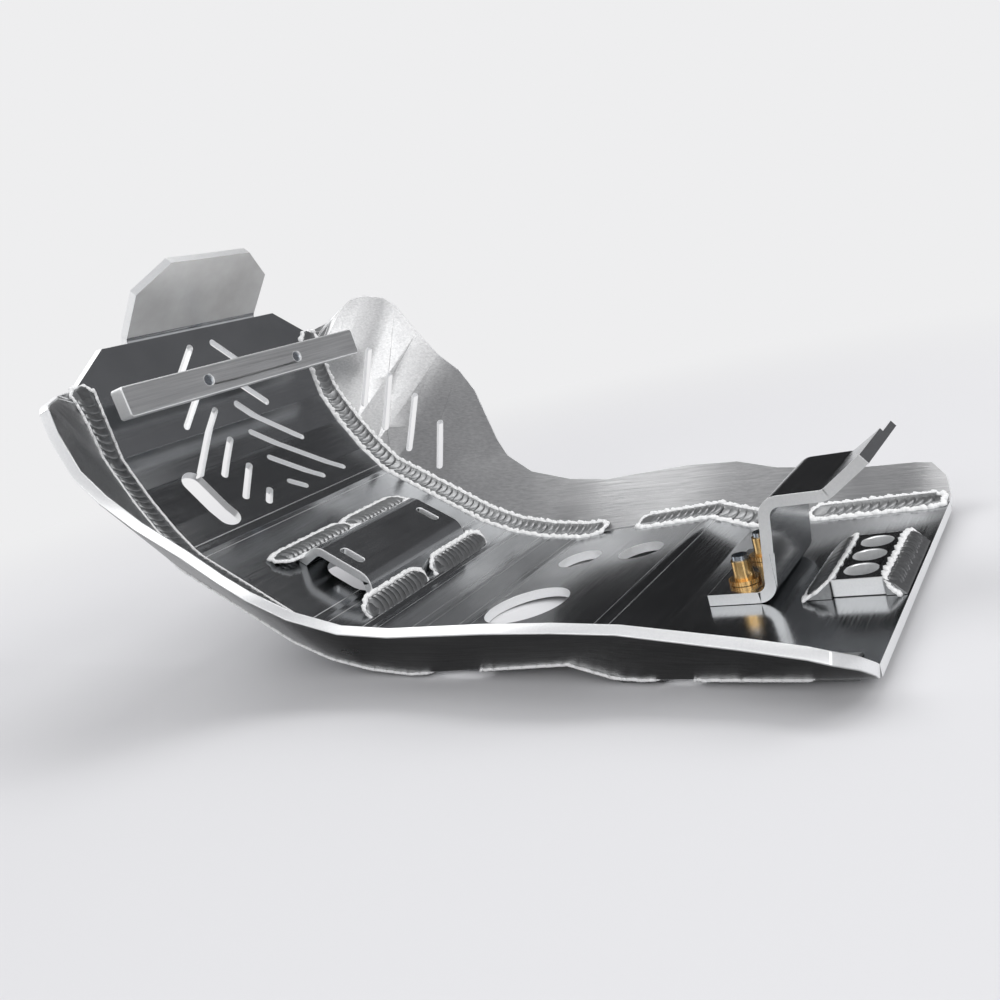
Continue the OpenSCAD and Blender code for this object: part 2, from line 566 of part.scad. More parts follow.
module z_bolt(side) color("lightsteelblue") {
  base = plate + weld_seat;
  on_sheet(REAR, z_along + z_bolt_along, side * z_bolt_offset, -plate + 0.6) difference() {
    cylinder(h = 2 * plate - 0.6 + weld_seat + nut_flange_height + barrel_height + 2.5, r = stud_radius);
    translate([0, 0, 2 * plate + nut_flange_height + barrel_height - 2]) cylinder(h = 8, r = 2.3, $fn = 6);
  }
}
module z_nut(side) color("goldenrod")
  on_sheet(REAR, z_along + z_bolt_along, side * z_bolt_offset, plate + 2 * weld_seat) difference() {
    union() {
      cylinder(h = nut_flange_height, r = nut_flange_radius - 0.5);
      for (k = [0:serrations - 1]) rotate([0, 0, k * 360 / serrations]) translate([nut_flange_radius - 1.2, -0.3, 0])
        cube([1.2, 0.6, nut_flange_height]);
      cylinder(h = nut_flange_height + barrel_height, r = barrel_radius);
    }
    translate([0, 0, -1]) cylinder(h = nut_flange_height + barrel_height + 2, r = stud_radius + thread_clearance);
  }
module z_bolt_left() z_bolt(-1);
module z_bolt_right() z_bolt(1);
module z_nut_left() z_nut(-1);
module z_nut_right() z_nut(1);

/* Rear block */
block_along = rear_length - block_from_rear - block_width / 2;
module rear_block() color("silver") difference() {
  on_sheet(REAR, block_along, 0, weld_seat + block_height / 2) cube([block_width, 2 * block_half_length, block_height], center = true);
  for (k = [-1:1]) on_sheet(REAR, block_along, k * block_hole_pitch) cylinder(h = 6 * block_height, r = block_hole_radius, center = true);
}
module block_bead(y1, y2, reach, dir) {
  root = block_along + dir * (block_width / 2 + weld_seat);
  across(y1, y2) polygon([on_panel(REAR, root, weld_seat), on_panel(REAR, root + dir * reach, weld_seat),
    on_panel(REAR, root + dir * (reach - 0.5), 0.9), on_panel(REAR, root + dir * reach * 0.5, block_height * 0.62),
    on_panel(REAR, root, block_height * 0.95)]);
}
module block_weld_front() color("lightgrey") block_bead(-block_half_length - 2, block_half_length + 4, 11, -1);
module block_weld_rear() color("lightgrey") block_bead(-block_half_length - 1, block_half_length + 4, block_from_rear - 1, 1);

main_sheet();
left_wing();
right_wing();
weld_left_front();
weld_left_middle();
weld_left_rear();
weld_right_front();
weld_right_middle();
weld_right_rear();
weld_left_outer();
weld_right_outer();
clamp_bar();
clamp_bolt_left();
clamp_bolt_right();
clamp_washer_left();
clamp_washer_right();
hat_bracket();
hat_weld_front();
hat_weld_rear();
z_bracket();
z_bolt_left();
z_bolt_right();
z_nut_left();
z_nut_right();
rear_block();
block_weld_front();
block_weld_rear();
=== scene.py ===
"""Motorcycle skid plate dressed for the library: aluminium finishes, rippled weld beads and cut edges.

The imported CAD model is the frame. Every piece here rides on its one body and is in metres.
"""

import logging
import math
from dataclasses import dataclass, field
from enum import Enum
from typing import Callable, Sequence

import bpy
from mathutils import Matrix, Vector

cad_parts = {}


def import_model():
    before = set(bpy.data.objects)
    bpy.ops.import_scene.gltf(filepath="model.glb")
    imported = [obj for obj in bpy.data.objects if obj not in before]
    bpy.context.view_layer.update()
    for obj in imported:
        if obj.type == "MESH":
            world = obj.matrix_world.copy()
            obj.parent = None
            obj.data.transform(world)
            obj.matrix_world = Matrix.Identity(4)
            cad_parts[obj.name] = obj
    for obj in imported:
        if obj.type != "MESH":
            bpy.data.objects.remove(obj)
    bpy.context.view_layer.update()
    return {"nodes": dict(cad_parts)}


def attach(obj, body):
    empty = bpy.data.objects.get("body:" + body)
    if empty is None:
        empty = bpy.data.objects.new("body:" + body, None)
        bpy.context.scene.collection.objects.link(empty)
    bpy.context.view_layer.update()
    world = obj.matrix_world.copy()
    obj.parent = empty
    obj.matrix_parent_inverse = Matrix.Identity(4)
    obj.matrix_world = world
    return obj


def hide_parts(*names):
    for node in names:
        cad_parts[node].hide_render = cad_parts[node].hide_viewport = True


LOG = logging.getLogger("skid_plate")
MM = 0.001
# The colour sockets of Blender's mix node
MIX_FIRST, MIX_SECOND, MIX_RESULT = 6, 7, 2
# Panels of the main sheet, counted from the front
LONG_PANEL, REAR_PANEL = 4, 10
# Shares of a face's normal that tell the end of a bar, the top of the block and a cut edge
END_SHARE, TOP_SHARE, EDGE_SHARE = 0.6, 0.75, 0.5


class Side(Enum):
    """The two sides of the bike."""

    LEFT = -1
    RIGHT = 1


class Grain(Enum):
    """The way a brushed grain runs."""

    LENGTHWISE = (1.0, 0.0, 0.0)
    CROSSWISE = (0.0, 1.0, 0.0)


def linear(hex_colour: str) -> tuple[float, float, float, float]:
    """Turns an sRGB hex colour to linear light.

    Args:
        hex_colour: six hex digits, with or without a leading hash.

    Returns:
        Red, green, blue and an alpha of one.
    """
    digits = hex_colour.lstrip("#")
    parts = [int(digits[i : i + 2], 16) / 255 for i in (0, 2, 4)]
    lin = [c / 12.92 if c <= 0.04045 else ((c + 0.055) / 1.055) ** 2.4 for c in parts]
    return (lin[0], lin[1], lin[2], 1.0)


def add_node(tree: bpy.types.NodeTree, kind: str, settings: dict | None = None,
             links: dict | None = None) -> bpy.types.Node:
    """Adds one shader node with its settings and the links into it.

    Args:
        tree: the node tree it goes in.
        kind: the node's type name.
        settings: attribute or input names with their values.
        links: input names with the output sockets that feed them.

    Returns:
        The new node.
    """
    node = tree.nodes.new(kind)
    for name, value in (settings or {}).items():
        if isinstance(name, str) and hasattr(node, name) and name not in node.inputs:
            setattr(node, name, value)
        else:
            node.inputs[name].default_value = value
    for name, socket in (links or {}).items():
        tree.links.new(socket, node.inputs[name])
    return node


def new_material(name: str) -> tuple[bpy.types.Material, bpy.types.NodeTree, bpy.types.Node,
                                     bpy.types.Node]:
    """Starts a material with its surface shader and object coordinates.

    Args:
        name: the finish's plain name.

    Returns:
        The material, its tree, the surface shader and the coordinates node.
    """
    material = bpy.data.materials.new(name)
    material.use_nodes = True
    tree = material.node_tree
    tree.nodes.clear()
    surface = add_node(tree, "ShaderNodeBsdfPrincipled")
    add_node(tree, "ShaderNodeOutputMaterial", links={"Surface": surface.outputs["BSDF"]})
    return material, tree, surface, add_node(tree, "ShaderNodeTexCoord")


def noise(tree: bpy.types.NodeTree, place: bpy.types.NodeSocket, grain_mm: float, detail: float,
          rough: float) -> bpy.types.NodeSocket:
    """Adds a noise pattern with grains of a real size.

    Args:
        tree: the material's tree.
        place: the coordinates it is laid on.
        grain_mm: the size of its grains.
        detail: how many finer layers it has.
        rough: how strong the finer layers are.

    Returns:
        The pattern's value.
    """
    settings = {"Scale": 1 / (grain_mm * MM), "Detail": detail, "Roughness": rough}
    pattern = add_node(tree, "ShaderNodeTexNoise", settings, {"Vector": place})
    return pattern.outputs["Fac"]


def brushed(tree: bpy.types.NodeTree, place: bpy.types.NodeSocket, grain: Grain,
            stretch: float) -> bpy.types.NodeSocket:
    """Draws coordinates out along a grain, so that a noise on them turns to fine lines.

    Args:
        tree: the material's tree.
        place: the coordinates.
        grain: the way the lines run.
        stretch: the scale along the lines, where 1 draws nothing out.

    Returns:
        The drawn out coordinates.
    """
    scale = tuple(stretch if along else 1.0 for along in grain.value)
    return add_node(tree, "ShaderNodeMapping", {"Scale": scale}, {"Vector": place}).outputs["Vector"]


def two_tone(tree: bpy.types.NodeTree, factor: bpy.types.NodeSocket, dark: str,
             light: str) -> bpy.types.NodeSocket:
    """Mixes two colours by a pattern.

    Args:
        tree: the material's tree.
        factor: the pattern.
        dark: the colour where the pattern is low.
        light: the colour where it is high.

    Returns:
        The mixed colour.
    """
    mix = add_node(tree, "ShaderNodeMix", {"data_type": "RGBA"}, {"Factor": factor})
    mix.inputs[MIX_FIRST].default_value = linear(dark)
    mix.inputs[MIX_SECOND].default_value = linear(light)
    return mix.outputs[MIX_RESULT]


def join_values(tree: bpy.types.NodeTree, operation: str, first: bpy.types.NodeSocket,
                second: bpy.types.NodeSocket) -> bpy.types.NodeSocket:
    """Makes one value of two.

    Args:
        tree: the tree of the material or the world.
        operation: the sum, by Blender's name.
        first: the first value.
        second: the second value.

    Returns:
        The result.
    """
    links = {0: first, 1: second}
    return add_node(tree, "ShaderNodeMath", {"operation": operation}, links).outputs[0]


def spread(tree: bpy.types.NodeTree, value: bpy.types.NodeSocket, low: float,
           high: float) -> bpy.types.NodeSocket:
    """Spreads the middle of a noise over a range.

    Args:
        tree: the material's tree.
        value: the noise.
        low: what its darker parts become.
        high: what its lighter parts become.

    Returns:
        The new value.
    """
    limits = {"From Min": 0.3, "From Max": 0.7, "To Min": low, "To Max": high}
    return add_node(tree, "ShaderNodeMapRange", limits, {"Value": value}).outputs["Result"]


def coat(tree: bpy.types.NodeTree, surface: bpy.types.Node, height: bpy.types.NodeSocket,
         strength: float, depth_mm: float) -> None:
    """Gives a surface a relief too fine to model.

    Args:
        tree: the material's tree.
        surface: the surface shader.
        height: the relief's pattern.
        strength: how much of it shows.
        depth_mm: how deep it is.
    """
    depth = {"Strength": strength, "Distance": depth_mm * MM}
    bump = add_node(tree, "ShaderNodeBump", depth, {"Height": height})
    tree.links.new(bump.outputs["Normal"], surface.inputs["Normal"])


@dataclass(frozen=True)
class MillPlate:
    """Mill finish aluminium plate, rolled bright: mirror-like with a soft haze and hairline scratches."""

    name: str
    light: str
    dark: str
    roughness: float
    haze: float
    scratch_mm: float = 0.9
    stain_mm: float = 26.0
    creases: Sequence[float] = ()
    metallic: float = 1.0
    grain: Grain = Grain.CROSSWISE
    stretch: float = 0.03
    crease_half_mm: float = 0.22
    crease_pale: float = 0.35
    crease_dull: float = 0.25

    def build(self) -> bpy.types.Material:
        """Builds the plate's material.

        Returns:
            The material.
        """
        material, tree, surface, coords = new_material(self.name)
        place = coords.outputs["Object"]
        colour = two_tone(tree, noise(tree, place, self.stain_mm, 4.0, 0.55), self.dark, self.light)
        lines = noise(tree, brushed(tree, place, self.grain, self.stretch), self.scratch_mm, 3.0, 0.65)
        dull = spread(tree, lines, self.roughness, self.roughness + self.haze)
        if self.creases:
            colour, dull = self.crease(tree, place, colour, dull)
        tree.links.new(colour, surface.inputs["Base Color"])
        tree.links.new(dull, surface.inputs["Roughness"])
        coat(tree, surface, lines, 0.03, 0.1)
        surface.inputs["Metallic"].default_value = self.metallic
        return material

    def crease(self, tree: bpy.types.NodeTree, place: bpy.types.NodeSocket, colour: bpy.types.NodeSocket,
               dull: bpy.types.NodeSocket) -> tuple[bpy.types.NodeSocket, bpy.types.NodeSocket]:
        """Draws the fine pale line that the brake's tools leave on each side of a bend.

        Args:
            tree: the material's tree.
            place: the coordinates.
            colour: the plate's colour.
            dull: the plate's roughness.

        Returns:
            The colour and the roughness with the lines in them.
        """
        split = add_node(tree, "ShaderNodeSeparateXYZ", links={"Vector": place})
        mark = None
        for x in self.creases:
            limits = {"operation": "COMPARE", 1: x * MM, 2: self.crease_half_mm * MM}
            line = add_node(tree, "ShaderNodeMath", limits, {0: split.outputs["X"]}).outputs[0]
            mark = line if mark is None else join_values(tree, "MAXIMUM", mark, line)
        part = {"operation": "MULTIPLY", 1: self.crease_pale}
        share = add_node(tree, "ShaderNodeMath", part, {0: mark})
        pale = add_node(tree, "ShaderNodeMix", {"data_type": "RGBA"}, {"Factor": share.outputs[0]})
        tree.links.new(colour, pale.inputs[MIX_FIRST])
        pale.inputs[MIX_SECOND].default_value = linear("#ffffff")
        lift = add_node(tree, "ShaderNodeMath", {"operation": "MULTIPLY_ADD", 1: self.crease_dull},
                        {0: mark, 2: dull})
        return pale.outputs[MIX_RESULT], lift.outputs[0]


@dataclass(frozen=True)
class BrushedPlate:
    """Aluminium plate brushed with a belt: a grey sheen broken by fine parallel lines."""

    name: str
    light: str
    dark: str
    roughness: float
    grain_mm: float
    bump: float
    grain: Grain = Grain.LENGTHWISE
    stretch: float = 0.02
    cloud_mm: float = 45.4545

    def build(self) -> bpy.types.Material:
        """Builds the brushed material, its grain drawn a little coarse so that it shows.

        Returns:
            The material.
        """
        material, tree, surface, coords = new_material(self.name)
        place = coords.outputs["Object"]
        lines = noise(tree, brushed(tree, place, self.grain, self.stretch), self.grain_mm, 5.0, 0.7)
        cloud = noise(tree, place, self.cloud_mm, 3.0, 0.5)
        tree.links.new(two_tone(tree, lines, self.dark, self.light), surface.inputs["Base Color"])
        dull = spread(tree, cloud, self.roughness - 0.05, self.roughness + 0.08)
        tree.links.new(dull, surface.inputs["Roughness"])
        coat(tree, surface, lines, self.bump, 0.3)
        surface.inputs["Metallic"].default_value = 1.0
        return material


@dataclass(frozen=True)
class MottledMetal:
    """Weld metal, a cut edge or a plated small part: an even metal with a fine mottle."""

    name: str
    light: str
    dark: str
    roughness: float
    mottle_mm: float = 2.5
    bump: float = 0.25
    metallic: float = 1.0

    def build(self) -> bpy.types.Material:
        """Builds the mottled metal.

        Returns:
            The material.
        """
        material, tree, surface, coords = new_material(self.name)
        mottle = noise(tree, coords.outputs["Object"], self.mottle_mm, 4.0, 0.6)
        tree.links.new(two_tone(tree, mottle, self.dark, self.light), surface.inputs["Base Color"])
        coat(tree, surface, mottle, self.bump, 0.2)
        surface.inputs["Roughness"].default_value = self.roughness
        surface.inputs["Metallic"].default_value = self.metallic
        return material


@dataclass
class Finishes:
    """The finishes of this skid plate, each built once."""

    profile: "Profile"
    sheet: bpy.types.Material = field(init=False)
    tab_painted_reflection: bpy.types.Material = field(init=False)
    bracket: bpy.types.Material = field(init=False)
    wing: bpy.types.Material = field(init=False)
    bar: bpy.types.Material = field(init=False)
    bead: bpy.types.Material = field(init=False)
    toe: bpy.types.Material = field(init=False)
    cut: bpy.types.Material = field(init=False)
    zinc: bpy.types.Material = field(init=False)
    yellow: bpy.types.Material = field(init=False)

    def __post_init__(self) -> None:
        """Builds each finish, from the mirror of the sheet to the chalky white of the bead borders."""
        # The polished plate mirrors the studio. Its tab has painted reflection: a paler, slightly warm
        # colour for the glare it catches, clouded at random
        self.sheet = MillPlate("mill_aluminium_sheet", "#bcbec0", "#9c9ea0", 0.12, 0.09,
                               creases=self.profile.creases()).build()
        self.tab_painted_reflection = MillPlate("mill_aluminium_tab", "#ffffff", "#bfbebb", 0.2, 0.06, 0.5, 30.0,
                             metallic=0.5).build()
        self.bracket = MillPlate("mill_aluminium_bracket", "#c8cacc", "#a8aaac", 0.14, 0.09).build()
        # Brushed metal holds a grey sheen with fine lines
        self.wing = BrushedPlate("brushed_aluminium_wing", "#dedede", "#8c8d8f", 0.32, 1.1, 0.4).build()
        self.bar = BrushedPlate("brushed_aluminium_bar", "#ffffff", "#a8aaac", 0.42, 1.3, 0.5,
                                Grain.CROSSWISE).build()
        # The beads are dull crescents inside a chalky border. Cut edges are near white: partly the satin of
        # a cut, partly painted highlight of the light they catch
        self.bead = MottledMetal("tig_weld_aluminium", "#b4b5b6", "#7f8081", 0.36).build()
        self.toe = MottledMetal("etched_weld_border", "#ffffff", "#f1f2f2", 0.7, 1.2, 0.3, 0.0).build()
        self.cut = MottledMetal("sheared_aluminium_edge", "#ffffff", "#eceeef", 0.34, 0.9, 0.15,
                                0.6).build()
        # Plated fasteners, blue-white and gold
        self.zinc = MottledMetal("bright_zinc_steel", "#c8cdd3", "#8d949c", 0.24, 1.5, 0.2).build()
        self.yellow = MottledMetal("yellow_zinc_steel", "#f0d49c", "#c08c48", 0.25, 1.8, 0.15).build()


def dress(node: bpy.types.Object, material: bpy.types.Material) -> None:
    """Gives a piece one finish.

    Args:
        node: the piece.
        material: its finish.
    """
    node.data.materials.clear()
    node.data.materials.append(material)


@dataclass
class Profile:
    """The bent profile of the main sheet and the stations of its wings, in millimetres."""

    lengths: Sequence[float] = (61.7, 21.9, 25.8, 22.2, 81.1, 23.8, 23.2, 23.3, 85.7, 24.6, 98.0)
    slopes: Sequence[float] = (82.6, 64, 56.6, 48.8, 31, 21.7, 11.7, 4.9, -4.7, 16.6, -2.5)
    plate: float = 5.0
    half_width: float = 91.1
    weld_start: float = 19.2 / 61.7
    tab_length: float = 48.2
    tab_slope: float = 47.5
    crease_gap: float = 3.4
    low_front: Sequence[tuple] = ((0.46, 7, 18, 7.1), (0.6, 13.9, 24.5, 15.2), (0.74, 21.8, 31.5, 23.3),
                                  (0.87, 29.8, 38.5, 30.7), (1, 37.8, 45.5, 38.1), (1.5, 38.5, 49.8, 46.4))
    high_front: Sequence[tuple] = ((0.46, 5, 19.5, 13.2), (0.6, 10.3, 28.3, 29.2), (0.74, 14.6, 34.5, 41.5),
                                   (0.87, 21, 40.5, 49.7), (1, 30.3, 46.5, 53.1), (1.5, 32.5, 48.8, 56.2))
    back: Sequence[tuple] = ((2.3, 33.9, 52, 51.2), (3.15, 33.2, 54.6, 49.9), (4, 34.3, 55, 51),
                             (4.28, 26.9, 50.5, 47.7), (4.53, 21, 40.5, 40.2), (4.78, 13.1, 32.8, 35.1),
                             (5, 6.8, 27.5, 33.3), (6, 2.7, 23.5, 30.6), (7, 8, 22.6, 27.8),
                             (8, 11.1, 21, 27.7), (8.55, 16.8, 23.4, 26.8), (9, 9.4, 22, 23.3),
                             (10, 10.6, 15, 26.3), (10.47, 11.6, 16.2, 19.6), (10.76, 6, 20.2, 17.3),
                             (10.88, 2.4, 21.6, 15.7), (10.955, 2.2, 14, 10), (11, 0, 5, 3.5))
    bends: list[tuple[float, float]] = field(init=False)

    def __post_init__(self) -> None:
        """Walks down the panels to find the bends in the shared frame."""
        raw = [(0.0, 0.0)]
        for length, slope in zip(self.lengths, self.slopes):
            turn = math.radians(slope)
            raw.append((raw[-1][0] + length * math.cos(turn), raw[-1][1] - length * math.sin(turn)))
        floor = min(p[1] for p in raw) - self.plate
        middle = (raw[-1][0] - self.plate) / 2
        self.bends = [(x - middle, z - floor) for x, z in raw]

    def creases(self) -> tuple[float, ...]:
        """Where the brake's tools left their fine lines: on each side of the lower bends.

        Returns:
            The distance of each line to the rear.
        """
        lower = self.bends[LONG_PANEL:REAR_PANEL]
        return tuple(x + side * self.crease_gap for x, _ in lower for side in (-1, 1))

    def panel(self, place: float) -> int:
        """The panel that a place lies on.

        Args:
            place: the panel's number and the share of its length, as one number.

        Returns:
            The panel's number from the front.
        """
        return max(0, min(int(place), len(self.lengths) - 1))

    def at(self, place: float) -> tuple[float, float]:
        """The x and z of a place on the top face.

        Args:
            place: the place along the panels.

        Returns:
            The two distances in millimetres.
        """
        i = self.panel(place)
        share = place - i
        (x0, z0), (x1, z1) = self.bends[i], self.bends[i + 1]
        return x0 + share * (x1 - x0), z0 + share * (z1 - z0)

    def normal(self, place: float) -> Vector:
        """The top face's normal at a place.

        Args:
            place: the place along the panels.

        Returns:
            The unit vector out of the top face.
        """
        turn = math.radians(self.slopes[self.panel(place)])
        return Vector((math.sin(turn), 0.0, math.cos(turn)))

    def on_panel(self, panel: int, along: float, y: float, high: float = 0.0) -> Vector:
        """A point over a panel.

        Args:
            panel: the panel's number from the front.
            along: the distance down the panel.
            y: the distance to the bike's right side.
            high: the height over the top face.

        Returns:
            The point in millimetres.
        """
        turn = math.radians(self.slopes[panel])
        x, z = self.bends[panel]
        cos, sin = math.cos(turn), math.sin(turn)
        return Vector((x + along * cos + high * sin, y, z - along * sin + high * cos))

    def stations(self, side: Side) -> list[tuple]:
        """The wing's stations on one side.

        Args:
            side: the side of the bike.

        Returns:
            For each station the place of the foot and the reach of the top edge from it.
        """
        if side is Side.RIGHT:
            return [(self.weld_start, 1.4, 12.8, -1.1), *self.high_front, *self.back]
        return [(self.weld_start, 1.5, 13, -0.9), *self.low_front, *self.back]

    def wing_lines(self, side: Side, place: float) -> tuple[Vector, Vector]:
        """The wing's foot and crest at a place.

        Args:
            side: the side of the bike.
            place: the place along the sheet's edge.

        Returns:
            The foot and the crest, in millimetres.
        """
        sts = self.stations(side)
        k = 0
        while k < len(sts) - 2 and place > sts[k + 1][0]:
            k += 1
        share = (place - sts[k][0]) / (sts[k + 1][0] - sts[k][0])
        ends = []
        for st in (sts[k], sts[k + 1]):
            x, z = self.at(st[0])
            foot = Vector((x, self.half_width, z))
            ends.append((foot, foot + Vector(st[1:])))
        foot = ends[0][0].lerp(ends[1][0], share)
        crest = ends[0][1].lerp(ends[1][1], share)
        flip = Vector((1, side.value, 1))
        return foot * flip, crest * flip

    def place_after(self, place: float, step: float) -> float:
        """The place a distance further down the sheet's edge.

        Args:
            place: the place to start from.
            step: the distance in millimetres.

        Returns:
            The new place.
        """
        return place + step / self.lengths[self.panel(place + 1e-6)]


def axes_matrix(centre: Vector, along: Vector, across: Vector, out: Vector, size: Vector) -> Matrix:
    """A placing matrix from three axes and three sizes, all in millimetres.

    Args:
        centre: the middle of the piece.
        along: its local X.
        across: its local Y.
        out: its local Z.
        size: the scale on each axis.

    Returns:
        The matrix in metres.
    """
    columns = [along.normalized() * size.x, across.normalized() * size.y, out.normalized() * size.z]
    matrix = Matrix.Identity(4)
    for c, vector in enumerate(columns):
        for r in range(3):
            matrix[r][c] = vector[r] * MM
    for r in range(3):
        matrix[r][3] = centre[r] * MM
    return matrix


def deselect_all() -> None:
    """Leaves nothing selected."""
    bpy.ops.object.select_all(action="DESELECT")


def model_ripple() -> bpy.types.Object:
    """Models one solidified puddle of a weld: a low dome one unit in radius on a flat base.

    Returns:
        The ripple at the origin.
    """
    deselect_all()
    bpy.ops.mesh.primitive_circle_add(vertices=14, radius=1.0, fill_type="NGON")
    ripple = bpy.context.object
    bpy.ops.object.mode_set(mode="EDIT")
    bpy.ops.mesh.select_all(action="SELECT")
    for rise, share in ((0.6, 0.95), (0.28, 0.82), (0.12, 0.5)):
        bpy.ops.mesh.extrude_region_move(TRANSFORM_OT_translate={"value": (0.0, 0.0, rise)})
        bpy.ops.transform.resize(value=(share, share, 1.0))
    bpy.ops.object.mode_set(mode="OBJECT")
    bpy.ops.object.shade_smooth()
    return ripple


def model_spatter() -> bpy.types.Object:
    """Models one grain of the etched border of a bead: a small faceted pebble.

    Returns:
        The pebble at the origin, one unit in radius.
    """
    deselect_all()
    bpy.ops.mesh.primitive_ico_sphere_add(subdivisions=1, radius=1.0)
    pebble = bpy.context.object
    bpy.ops.object.mode_set(mode="EDIT")
    bpy.ops.mesh.select_all(action="SELECT")
    bpy.ops.transform.resize(value=(1.05, 0.95, 1.0))
    bpy.ops.object.mode_set(mode="OBJECT")
    bpy.ops.object.shade_smooth()
    return pebble


def string_together(name: str, model: bpy.types.Object, places: Sequence[Matrix]) -> bpy.types.Object:
    """Copies a model to each place and joins the copies to one piece at the origin.

    Args:
        name: the piece's name.
        model: the modelled repeat, which is used up.
        places: where each copy goes.

    Returns:
        The joined piece.
    """
    copies = []
    for place in places:
        copy = model.copy()
        copy.data = model.data.copy()
        copy.data.transform(place)
        bpy.context.scene.collection.objects.link(copy)
        copies.append(copy)
    bpy.data.objects.remove(model)
    deselect_all()
    for copy in copies:
        copy.select_set(True)
    bpy.context.view_layer.objects.active = copies[0]
    bpy.ops.object.join()
    piece = bpy.context.object
    piece.name = name
    piece.data.name = name
    return piece


def finish_piece(piece: bpy.types.Object, material: bpy.types.Material) -> None:
    """Dresses a new piece and hangs it on the body.

    Args:
        piece: the new piece.
        material: its finish.
    """
    dress(piece, material)
    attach(piece, "root")
    LOG.info("%s: %d faces", piece.name, len(piece.data.polygons))


@dataclass
class Bead:
    """One weld bead: where its toe and top lines run, its ripples and its etched border."""

    name: str
    toes: Sequence[Vector]
    tops: Sequence[Vector]
    normals: Sequence[Vector]
    crown: float
    border: float
    replaces: str = ""
    lean: float = 0.24
    overlap: float = 1.15
    sink: float = 0.5
    spill: tuple[float, float] = (0.8, 0.4)
    grain_pitch: float = 1.5
    grain_size: tuple[float, float, float] = (2.4, 2.1, 0.8)

    def ripple_places(self) -> list[Matrix]:
        """The place of each ripple, each leaning on the one before it.

        Returns:
            One placing matrix for each ripple.
        """
        places = []
        last = len(self.toes) - 1
        for k in range(last + 1):
            toe, top = self.toes[k], self.tops[k]
            before, after = max(k - 1, 0), min(k + 1, last)
            along = self.toes[after] + self.tops[after] - self.toes[before] - self.tops[before]
            step = along.length / 2 / (after - before)
            along.normalize()
            across = (top - toe).normalized()
            along = (along - across * along.dot(across)).normalized()
            out = along.cross(across)
            if out.dot(self.normals[k]) < 0:
                out = -out
            tilt = 0.0 if k in (0, last) else self.lean + 0.03 * math.sin(k * 2.7)
            lean = (along + out * tilt).normalized()
            rise = (out - lean * out.dot(lean)).normalized()
            half = (top - toe).length / 2
            # The last two ripples at each end are smaller, and no ripple is quite like the next
            end = (0.84, 0.95)[min(k, last - k)] if min(k, last - k) < 2 else 1.0
            sway = 0.03 * half * math.sin(k * 1.9)
            height = self.crown * end * (1 + 0.08 * math.sin(k * 3.3))
            size = Vector((min(half * 0.98, step * self.overlap), half * 0.97 * end, height))
            centre = (toe + top) / 2 + across * sway - out * self.sink
            places.append(axes_matrix(centre, lean, across, rise, size))
        return places

    def cap(self, near: Sequence[Vector], far: Sequence[Vector]) -> list[Vector]:
        """Two points that carry the border round the last ripple, from one line to the other.

        Args:
            near: the line that the border comes along.
            far: the line that it goes back along.

        Returns:
            The two points beyond the end, in millimetres.
        """
        step = near[-1] - near[-2]
        beyond = step.normalized() * min(step.length, (far[-1] - near[-1]).length / 2) * 0.95
        return [near[-1].lerp(far[-1], share) + beyond for share in (0.2, 0.8)]

    def border_places(self) -> list[Matrix]:
        """The place of each grain of the border, along both lines and round both ends.

        Returns:
            One placing matrix for each grain.
        """
        ways = [(top - toe).normalized() for toe, top in zip(self.toes, self.tops)]
        toes = [toe - way * self.spill[0] for toe, way in zip(self.toes, ways)]
        tops = [top + way * self.spill[1] for top, way in zip(self.tops, ways)]
        loop = [*toes, *self.cap(toes, tops), *reversed(tops), *self.cap(tops[::-1], toes[::-1])]
        first, last = self.normals[0], self.normals[-1]
        facing = [*self.normals, last, last, *reversed(self.normals), first, first]
        places, index = [], 0
        for k, (start, end) in enumerate(zip(loop, [*loop[1:], loop[0]])):
            span = end - start
            count = max(1, round(span.length / self.grain_pitch))
            along = span.normalized()
            across = facing[k].cross(along).normalized()
            for j in range(count):
                spot = start + span * (j / count)
                shift = 0.4 * math.sin(index * 1.3) + 0.25 * math.sin(index * 3.9)
                wide = self.border * (1.0 + 0.3 * math.sin(index * 2.1 + 1.0))
                size = Vector((self.grain_size[0], wide * self.grain_size[1], self.grain_size[2]))
                spot += across * shift
                places.append(axes_matrix(spot, along, across, along.cross(across), size))
                index += 1
        return places

    def build(self, finishes: Finishes) -> None:
        """Builds the ripples and the border of the bead.

        Args:
            finishes: the finishes of the part.
        """
        ripples = string_together(f"{self.name}_ripples", model_ripple(), self.ripple_places())
        finish_piece(ripples, finishes.bead)
        if self.replaces:
            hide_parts(self.replaces)
        border = string_together(f"{self.name}_border", model_spatter(), self.border_places())
        finish_piece(border, finishes.toe)


